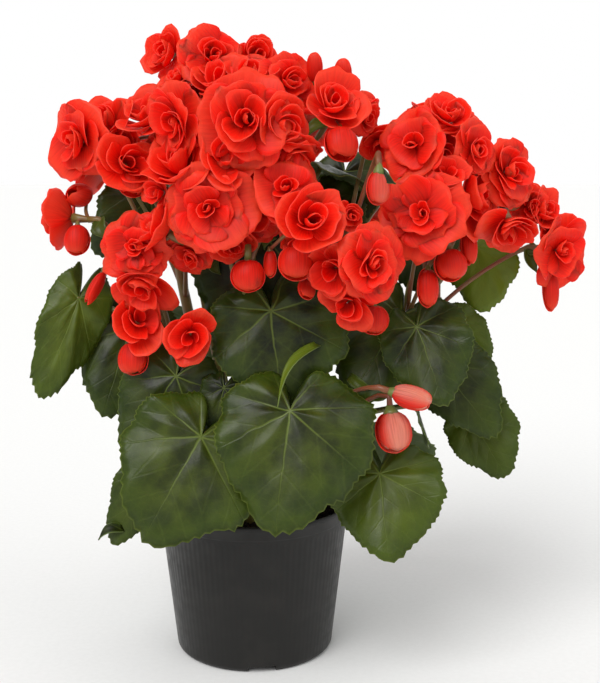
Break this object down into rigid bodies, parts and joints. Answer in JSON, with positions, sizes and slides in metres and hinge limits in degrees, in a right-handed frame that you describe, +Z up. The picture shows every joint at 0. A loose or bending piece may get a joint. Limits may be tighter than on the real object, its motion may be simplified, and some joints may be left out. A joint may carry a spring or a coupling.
{
  "type": "potted plant",
  "caption": "Bushy begonia with double orange-red blooms, buds and toothed lopsided leaves on fleshy stems, in a tapered plastic nursery pot.",
  "frame": {"origin": "centre of the pot's underside, on the surface that the pot stands on", "axes": "+Z up along the pot's axis, -Y towards the front of the plant, +X to the right of the front view"},
  "size_m": [0.3367, 0.2242, 0.3828],
  "materials": {
    "pot_plastic": "matte black moulded plastic",
    "potting_soil": "dark crumbly peat soil",
    "foliage": "dark green fleshy leaves with a soft sheen, green to red-brown stems",
    "petals": "satin vermilion petals"
  },
  "bodies": {
    "root": {"bloom_01": "petals", "bloom_02": "petals", "bloom_03": "petals", "bloom_04": "petals", "bloom_05": "petals", "bloom_06": "petals", "bloom_07": "petals", "bloom_08": "petals", "bloom_09": "petals", "bloom_10": "petals", "bloom_11": "petals", "bloom_12": "petals", "bloom_13": "petals", "bloom_14": "petals", "bloom_15": "petals", "bloom_16": "petals", "bloom_17": "petals", "bloom_18": "petals", "bloom_19": "petals", "bloom_20": "petals", "bloom_21": "petals", "bloom_22": "petals", "bloom_23": "petals", "bloom_24": "petals", "bloom_25": "petals", "bloom_26": "petals", "bloom_27": "petals", "bloom_28": "petals", "bloom_29": "petals", "bloom_30": "petals", "bloom_31": "petals", "bloom_32": "petals", "bloom_33": "petals", "bloom_40": "petals", "bloom_41": "petals", "bloom_42": "petals", "bloom_43": "petals", "bloom_44": "petals", "bloom_45": "petals", "bloom_46": "petals", "bloom_47": "petals", "bloom_48": "petals", "bud_34": "petals", "bud_35": "petals", "bud_36": "petals", "bud_37": "petals", "bud_38": "petals", "bud_39": "petals", "pot": "pot_plastic", "soil": "potting_soil", "stem_back_left": "foliage", "stem_back_right": "foliage", "stem_crown": "foliage", "stem_front": "foliage", "stem_left": "foliage", "stem_middle": "foliage", "stem_right": "foliage", "stem_upper_left": "foliage"}
  },
  "joints": []
}
